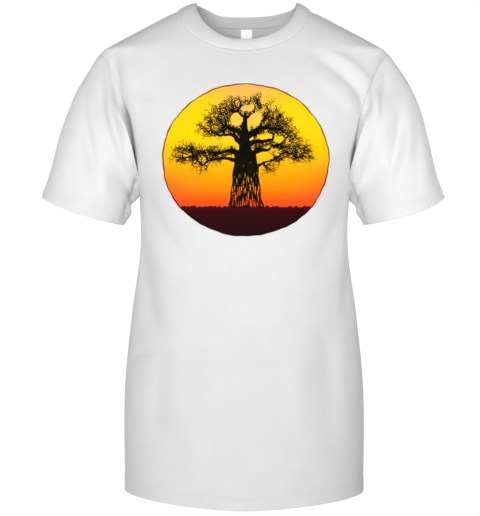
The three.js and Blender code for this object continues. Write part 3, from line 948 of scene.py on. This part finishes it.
LIMBS = [  # main limbs: points (x, z) and the width at each
    ([(-1, 30), (-9, 37), (-18, 41), (-28, 46)], [11, 8, 5.5, 3.5]),
    ([(-1, 30), (9, 36), (18, 42), (28, 45)], [11, 8, 5.5, 3.5]),
    ([(-6, 2), (-14, 9), (-24, 11), (-38, 8)], [10, 7, 5, 3]),
    ([(5, 2), (12, 9), (20, 12), (32, 12)], [10, 7, 5.5, 3]),
    ([(-7, -3), (-20, -1), (-34, 1), (-52, -3)], [8, 5, 4, 2.5]),
    ([(8, -8), (16, -10), (24, -6), (36, -2)], [7, 4.5, 3.5, 2.5]),
    ([(-2, 18), (-12, 26), (-18, 33), (-30, 33)], [9, 6, 4.5, 3]),
    ([(1, 18), (12, 24), (22, 24), (36, 26)], [9, 6, 5, 3]),
]


def baobab(seed=5):
    """Strips of the tree, each a list of points (x, z) and of widths."""
    rng = random.Random(seed)
    strips = []

    def closed(x, z):
        return any(((x - a) / w) ** 2 + ((z - b) / h) ** 2 < 1 for a, b, w, h in WINDOWS)

    def twig(x, z, heading, width, length, level):
        """A thin limb that forks as it goes and keeps out of the windows of sky."""
        step = 1.9
        points, widths = [(x, z)], [width]
        count = max(2, round(length / step))
        drift = 0.0
        side = rng.choice((-1, 1))
        for i in range(count):
            drift = 0.6 * drift + rng.gauss(0, 0.16)
            heading += drift * 0.6
            x, z = x + step * math.cos(heading), z + step * math.sin(heading)
            if level and closed(x, z) or math.hypot(x / PRINT_HALF, z / PRINT_RISE) > 0.97:
                break
            points.append((x, z))
            widths.append(mix(width, 0.45, (i + 1) / count))
            if level < 3 and rng.random() < 0.62:
                side = -side
                twig(x, z, heading + side * rng.uniform(0.35, 0.95), max(0.5, widths[-1] * 0.75),
                     rng.uniform(0.3, 0.62) * (length - i * step * 0.6), level + 1)
        strips.append((points, widths))

    def bough(x0, z0, x1, z1, width, sag):
        """A tapering limb from the trunk to a clump, with twigs along its outer part."""
        cx, cz = mix(x0, x1, 0.5), mix(z0, z1, 0.35) - sag
        count = max(6, round(math.hypot(x1 - x0, z1 - z0) / 3))
        points, widths = [], []
        shake, beat = rng.uniform(0, 6), rng.uniform(0.5, 0.9)
        for i in range(count + 1):
            t = i / count
            wave = 1.1 * math.sin(i * beat + shake) * math.sin(math.pi * t) + rng.gauss(0, 0.25)
            x = (1 - t) ** 2 * x0 + 2 * t * (1 - t) * cx + t * t * x1
            z = (1 - t) ** 2 * z0 + 2 * t * (1 - t) * cz + t * t * z1 + wave
            points.append((x, z))
            widths.append(mix(width, 1.3, t**0.75))
            if t > 0.4 and rng.random() < 0.6:
                ahead = math.atan2(z1 - cz, x1 - cx)
                twig(x, z, ahead + rng.choice((-1, 1)) * rng.uniform(0.4, 1.1), 1.1, rng.uniform(5, 11), 1)
        strips.append((points, widths))

    def trunk_half(z):
        t = (z - HORIZON) / 75
        return 15.0 + 8.5 * max(0, 1 - t) ** 1.3 + 1.5 * max(0, 0.1 - t) / 0.1

    # Ridges of the trunk break up towards the ground, so that the sky shows between them.
    for k in range(17):
        u = (k - 8) / 8
        points, widths = [], []
        sway, beat = rng.uniform(0, 6), rng.uniform(2.6, 5.0)
        top = 22 - 12 * abs(u)
        for i in range(61):
            t = i / 60
            z = mix(HORIZON - 2, top, t)
            lean = 1 - 0.42 * float(smooth(-8, 24, z))
            points.append((u * (trunk_half(z) - 0.9) * lean + 0.5 * math.sin(z / 3.7 + sway), z))
            fill = float(smooth(0.25, 0.92, t))
            broken = 1.95 + 0.7 * math.sin(z / beat + 2 * sway) + rng.gauss(0, 0.3)
            widths.append(mix(max(0.5, broken), 3.2 + 0.6 * math.sin(z / beat), fill))
        strips.append((points, widths))
    for _ in range(46):  # bark knots
        z = rng.uniform(HORIZON, 6)
        x = rng.uniform(-1, 1) * (trunk_half(z) - 2)
        knot = [(x - 1.2, z), (x, z + rng.uniform(-0.8, 0.8)), (x + 1.4, z + rng.uniform(-1.5, 1.5))]
        strips.append((knot, [0.8, 1.7, 0.7]))
    strips.append(TRUNK_CORE)
    for line, thick in LIMBS:
        t = np.linspace(0, len(line) - 1, 14)
        path = knots(t, len(line)) @ np.array(line, float)
        points = [(x, z + rng.gauss(0, 0.35)) for x, z in path]
        strips.append((points, [w + rng.gauss(0, 0.5) for w in np.interp(t, range(len(line)), thick)]))
    # Each bough grows from the trunk, a limb or an inner mass, whichever is the shorter way.
    joints = [(-1, z, 0.0) for z in (24, 33, 42, 52)]
    for k, before in ((2, 12.0), (3, 20.0)):
        joints += [(*line[k], before) for line, _ in LIMBS]
    for a, b, w, h in sorted(CLUMPS, key=lambda c: math.hypot(c[0], c[1] - 20)):
        x0, z0, before = min(joints, key=lambda j: math.hypot(j[0] - a, (j[1] - b) * 1.2 + 4) + 0.35 * j[2])
        reach = math.hypot(a - x0, b - z0)
        joints.append((a, b, before + reach))
        bough(x0, z0, a, b, max(1.9, 5.2 - 0.035 * before), rng.uniform(-3, 3))
        outward = math.atan2(b - 5, a)
        for _ in range(round(10 + w * h / 9)):
            r, turn = rng.uniform(0.05, 1) ** 0.6, rng.uniform(0, 2 * math.pi)
            x, z = a + r * w * math.cos(turn), b + r * h * math.sin(turn)
            if not closed(x, z):
                twig(x, z, outward + rng.gauss(0, 0.62), 0.95, rng.uniform(0.4, 0.95) * min(w, h * 1.5), 1)
    return strips


def tree():
    """The strips of the baobab, as one film."""
    flat, faces = [], []
    for points, widths in baobab():
        if len(points) < 2:
            continue
        p, w = np.array(points), np.array(widths) / 2
        d = np.gradient(p, axis=0)
        d /= np.maximum(np.linalg.norm(d, axis=1, keepdims=True), 1e-9)
        side = np.stack([-d[:, 1], d[:, 0]], -1) * w[:, None]
        base = len(flat)
        for a, b in zip(p - side, p + side):
            flat += [a, b]
        faces += [(i, i + 2, i + 3, i + 1) for i in range(base, base + 2 * len(p) - 2, 2)]
    return lay("picture_tree", np.array(flat), np.array(faces), 0.4)


picture_sky, picture_edge, picture_ground, picture_tree = sky(), outline(), ground(), tree()

# ---- materials


def linear(*rgb):
    """A colour given in 0 to 255, as a shader takes it."""
    return tuple(c / 255 / 12.92 if c <= 10 else ((c / 255 + 0.055) / 1.055) ** 2.4 for c in rgb) + (1.0,)


class Nodes:
    """A small helper for writing node trees. Colours are given in 0 to 255."""

    def __init__(self, tree):
        self.tree = tree

    def add(self, kind, **values):
        node = self.tree.nodes.new(kind)
        for key, value in values.items():
            if key in node.inputs:
                node.inputs[key].default_value = value
            else:
                setattr(node, key, value)
        return node

    def link(self, a, b):
        self.tree.links.new(a, b)

    def math(self, operation, a, b=0.0):
        node = self.add("ShaderNodeMath", operation=operation)
        for k, value in enumerate((a, b)):
            if isinstance(value, (int, float)):
                node.inputs[k].default_value = value
            else:
                self.link(value, node.inputs[k])
        return node.outputs[0]

    def ramp(self, factor, *stops):
        node = self.add("ShaderNodeValToRGB")
        while len(node.color_ramp.elements) < len(stops):
            node.color_ramp.elements.new(0.5)
        for element, (place, colour) in zip(node.color_ramp.elements, stops):
            element.position, element.color = place, linear(*colour)
        self.link(factor, node.inputs["Fac"])
        return node.outputs["Color"]

    def blend(self, factor, a, b, kind="MIX"):
        node = self.add("ShaderNodeMix", data_type="RGBA", blend_type=kind)
        for socket, value in ((node.inputs["Factor"], factor), (node.inputs[6], a), (node.inputs[7], b)):
            if isinstance(value, (int, float)):
                socket.default_value = value
            elif isinstance(value, tuple):
                socket.default_value = linear(*value)
            else:
                self.link(value, socket)
        return node.outputs[2]


class Surface(Nodes):
    """A material, with the nodes of its one shader."""

    def __init__(self, name, roughness, sheen=0.0, specular=0.25):
        self.material = bpy.data.materials.new(name)
        self.material.use_nodes = True
        super().__init__(self.material.node_tree)
        self.shader = self.tree.nodes["Principled BSDF"]
        self.shader.inputs["Roughness"].default_value = roughness
        self.shader.inputs["Specular IOR Level"].default_value = specular
        self.shader.inputs["Sheen Weight"].default_value = sheen
        self.shader.inputs["Sheen Roughness"].default_value = 0.6

    def bump(self, height, strength, distance):
        node = self.add("ShaderNodeBump", Strength=strength, Distance=distance)
        self.link(height, node.inputs["Height"])
        self.link(node.outputs["Normal"], self.shader.inputs["Normal"])


def jersey(name, colour, shade, wale=1.1, strength=0.25):
    """Fine knit: rows of small loops, with soft variation in the yarn."""
    m = Surface(name, 0.92, sheen=0.08)
    where = m.add("ShaderNodeTexCoord").outputs["Object"]
    split = m.add("ShaderNodeSeparateXYZ")
    m.link(where, split.inputs[0])
    x = m.math("MULTIPLY", split.outputs["X"], 2 * math.pi / (wale * MM))
    z = m.math("MULTIPLY", split.outputs["Z"], 2 * math.pi / (wale * 0.8 * MM))
    loops = m.math("ADD", m.math("SINE", x), m.math("MULTIPLY", m.math("SINE", z), 0.6))
    yarn = m.add("ShaderNodeTexNoise", Scale=900.0, Detail=3.0)
    m.link(where, yarn.inputs["Vector"])
    m.bump(m.math("ADD", m.math("MULTIPLY", loops, 0.25), yarn.outputs["Fac"]), strength, 0.0003)
    cloud = m.add("ShaderNodeTexNoise", Scale=28.0, Detail=4.0)
    m.link(where, cloud.inputs["Vector"])
    soft, fine = m.math("MULTIPLY", cloud.outputs["Fac"], 0.7), m.math("MULTIPLY", yarn.outputs["Fac"], 0.3)
    tone = m.ramp(m.math("ADD", soft, fine), (0.3, (shade,) * 3), (0.7, (colour,) * 3))
    m.link(tone, m.shader.inputs["Base Color"])
    return m.material


def picture_ink(name, build):
    """A matt ink, coloured by build(m, u, v, grain, uv) over the picture."""
    m = Surface(name, 0.85, specular=0.06)
    uv = m.add("ShaderNodeUVMap", uv_map="picture").outputs["UV"]
    split = m.add("ShaderNodeSeparateXYZ")
    m.link(uv, split.inputs[0])
    grain = m.add("ShaderNodeTexNoise", Scale=160.0, Detail=4.0)
    m.link(uv, grain.inputs["Vector"])
    colour = build(m, split.outputs["X"], split.outputs["Y"], grain.outputs["Fac"], uv)
    m.link(colour, m.shader.inputs["Base Color"])
    m.bump(grain.outputs["Fac"], 0.12, 0.0003)
    return m.material


def sky_colour(m, u, v, grain, uv):
    """Red over the land, then orange and yellow, redder at the sides, with a peach glow in the middle."""
    tone = m.ramp(v, (0.10, (235, 45, 40)), (0.19, (250, 58, 26)), (0.25, (250, 94, 8)),
                  (0.32, (252, 134, 2)), (0.40, (251, 160, 0)), (0.50, (246, 184, 8)), (0.63, (255, 202, 4)),
                  (0.80, (255, 206, 8)), (0.92, (255, 198, 24)), (1.0, (246, 176, 38)))
    off = m.math("ABSOLUTE", m.math("SUBTRACT", u, 0.5))
    sides = m.math("SMOOTH_MIN", m.math("MULTIPLY", off, 2.0), 1.0)
    low = m.math("MAXIMUM", m.math("SUBTRACT", 0.52, v), 0.0)
    redden = m.math("MULTIPLY", m.math("POWER", sides, 3.0), m.math("MULTIPLY", low, 3.2))
    tone = m.blend(m.math("MINIMUM", redden, 1.0), tone, (255, 66, 40))
    peach = m.add("ShaderNodeTexNoise", Scale=3.0, Detail=2.0)
    m.link(uv, peach.inputs["Vector"])
    centre = m.math("MAXIMUM", m.math("SUBTRACT", 0.22, off), 0.0)
    high = m.math("MAXIMUM", m.math("SUBTRACT", v, 0.55), 0.0)
    cloud = m.math("MULTIPLY", peach.outputs["Fac"], 24.0)
    glow = m.math("MINIMUM", m.math("MULTIPLY", m.math("MULTIPLY", centre, high), cloud), 0.8)
    tone = m.blend(glow, tone, (244, 180, 92))
    return m.blend(m.math("MULTIPLY", grain, 0.06), tone, (226, 140, 20))


def ground_colour(m, u, v, grain, uv):
    tone = m.ramp(v, (0.0, (34, 7, 11)), (0.10, (44, 8, 14)), (0.16, (50, 6, 15)), (0.195, (84, 8, 16)))
    return m.blend(m.math("MULTIPLY", grain, 0.35), tone, (42, 5, 10))


def tree_colour(m, u, v, grain, uv):
    return m.ramp(grain, (0.35, (3, 4, 1)), (0.7, (24, 25, 6)))


def edge_colour(m, u, v, grain, uv):
    return m.ramp(v, (0.1, (50, 8, 12)), (0.3, (150, 26, 16)), (0.7, (120, 44, 14)), (0.95, (132, 62, 18)))


WHITE = jersey("white_jersey", 219, 214)
RIB = jersey("white_rib", 217, 211, wale=1.6, strength=0.35)
TAPE = jersey("white_tape", 220, 214, wale=0.8, strength=0.3)
THREAD = jersey("white_thread", 219, 213, wale=0.5, strength=0.3)
SATIN_PAINTED_GLOW = jersey("label_satin_painted_glow", 252, 247, wale=0.5, strength=0.08)
satin_inputs = SATIN_PAINTED_GLOW.node_tree.nodes["Principled BSDF"].inputs
satin_inputs["Roughness"].default_value = 0.42
# Painted glow: a weak white emission brightens the label in the shade inside the neck, though the label is
# no lamp.
satin_inputs["Emission Color"].default_value = (1, 1, 1, 1)
satin_inputs["Emission Strength"].default_value = 0.2
SKY = picture_ink("ink_sky", sky_colour)
GROUND = picture_ink("ink_ground", ground_colour)
TREE_INK = picture_ink("ink_tree", tree_colour)
EDGE_INK = picture_ink("ink_edge", edge_colour)

# ---- materials on the pieces, which take the place of the CAD parts


def place(piece, material, slot, *nodes):
    piece.data.materials.append(material)
    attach(piece, "root")
    if nodes:
        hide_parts(*nodes)


place(front, WHITE, "jersey", "front_panel", "body_hem")
place(back, WHITE, "jersey", "back_panel")
place(sleeve_left, WHITE, "jersey", "sleeve_left", "sleeve_hem_left")
place(sleeve_right, WHITE, "jersey", "sleeve_right", "sleeve_hem_right")
place(collar, RIB, "rib", "neck_rib")
place(tape, TAPE, "rib", "neck_tape")
place(label, SATIN_PAINTED_GLOW, "label", "neck_label")
place(hem_thread, THREAD, "jersey")
place(cuff_thread, THREAD, "jersey")
place(neck_thread, THREAD, "jersey")
place(picture_sky, SKY, "print_sky", "print_sky")
place(picture_edge, EDGE_INK, "print_ground")
place(picture_ground, GROUND, "print_ground", "print_ground")
place(picture_tree, TREE_INK, "print_tree", "print_trunk", "print_crown")

# ---- floor, light and camera

FLOOR_CORNERS, FLOOR_RADIUS, FLOOR_Z = 96, 1.7e3, HEM_Z - 450
floor_mesh = bpy.data.meshes.new("floor")
floor_mesh.from_pydata([(FLOOR_RADIUS * math.cos(a) * MM, FLOOR_RADIUS * math.sin(a) * MM, FLOOR_Z * MM)
                        for a in np.arange(FLOOR_CORNERS) / FLOOR_CORNERS * 2 * np.pi],
                       [], [tuple(range(FLOOR_CORNERS))])
floor = bpy.data.objects.new("floor", floor_mesh)
SCENE.collection.objects.link(floor)
pale = Surface("pale_floor", 0.9)
pale.shader.inputs["Base Color"].default_value = (0.9, 0.9, 0.9, 1)
floor.data.materials.append(pale.material)


def studio():
    """White walls: brighter in front and behind than at the sides, and darker above and below."""
    world = bpy.data.worlds.new("studio")
    SCENE.world = world
    world.use_nodes = True
    m = Nodes(world.node_tree)
    axes = m.add("ShaderNodeSeparateXYZ")
    m.link(m.add("ShaderNodeTexCoord").outputs["Generated"], axes.inputs[0])
    facing = m.math("POWER", m.math("ABSOLUTE", axes.outputs["Y"]), 1.5)
    level = m.math("ADD", 0.63, m.math("MULTIPLY", facing, 0.43))
    above = m.math("MAXIMUM", m.math("SUBTRACT", axes.outputs["Z"], 0.21), 0.0)
    dimmed = m.math("SUBTRACT", 1.0, m.math("MULTIPLY", above, 1.6))
    level = m.math("MULTIPLY", level, m.math("MAXIMUM", dimmed, 0.08))
    below = m.math("MAXIMUM", m.math("SUBTRACT", -0.22, axes.outputs["Z"]), 0.0)
    level = m.math("MULTIPLY", level, m.math("SUBTRACT", 1.0, below))
    background = m.tree.nodes["Background"]
    m.link(level, background.inputs["Strength"])
    background.inputs["Color"].default_value = (1, 1, 1, 1)


studio()


def area_light(name, place, aim, size, power, spread=180):
    lamp = bpy.data.lights.new(name, "AREA")
    lamp.shape, lamp.size, lamp.energy = "DISK", size, power
    lamp.spread = math.radians(spread)
    lit = bpy.data.objects.new(name, lamp)
    lit.location = place
    lit.rotation_euler = (Vector(aim) - Vector(place)).to_track_quat("-Z", "Y").to_euler()
    SCENE.collection.objects.link(lit)


area_light("key", (-0.3, -2.2, -0.1), (0, 0, -0.3), 0.8, 23.5)
area_light("fill_right", (1.4, -1.6, -0.15), (0.33, 0, -0.22), 0.5, 0.28, 24)
area_light("fill_left", (-1.4, -1.6, -0.15), (-0.33, 0, -0.22), 0.5, 0.16, 24)
area_light("behind", (0.5, 2.2, 0.3), (0, 0, -0.3), 1.0, 14)

SCENE.view_settings.view_transform = "Standard"
lens = bpy.data.cameras.new("camera")
lens.lens, lens.sensor_width = 94.6, 36
camera = bpy.data.objects.new("camera", lens)
camera.location = (-0.006, -2.0, -0.364)
camera.rotation_euler = (math.radians(90), 0, 0)
SCENE.collection.objects.link(camera)
SCENE.camera = camera
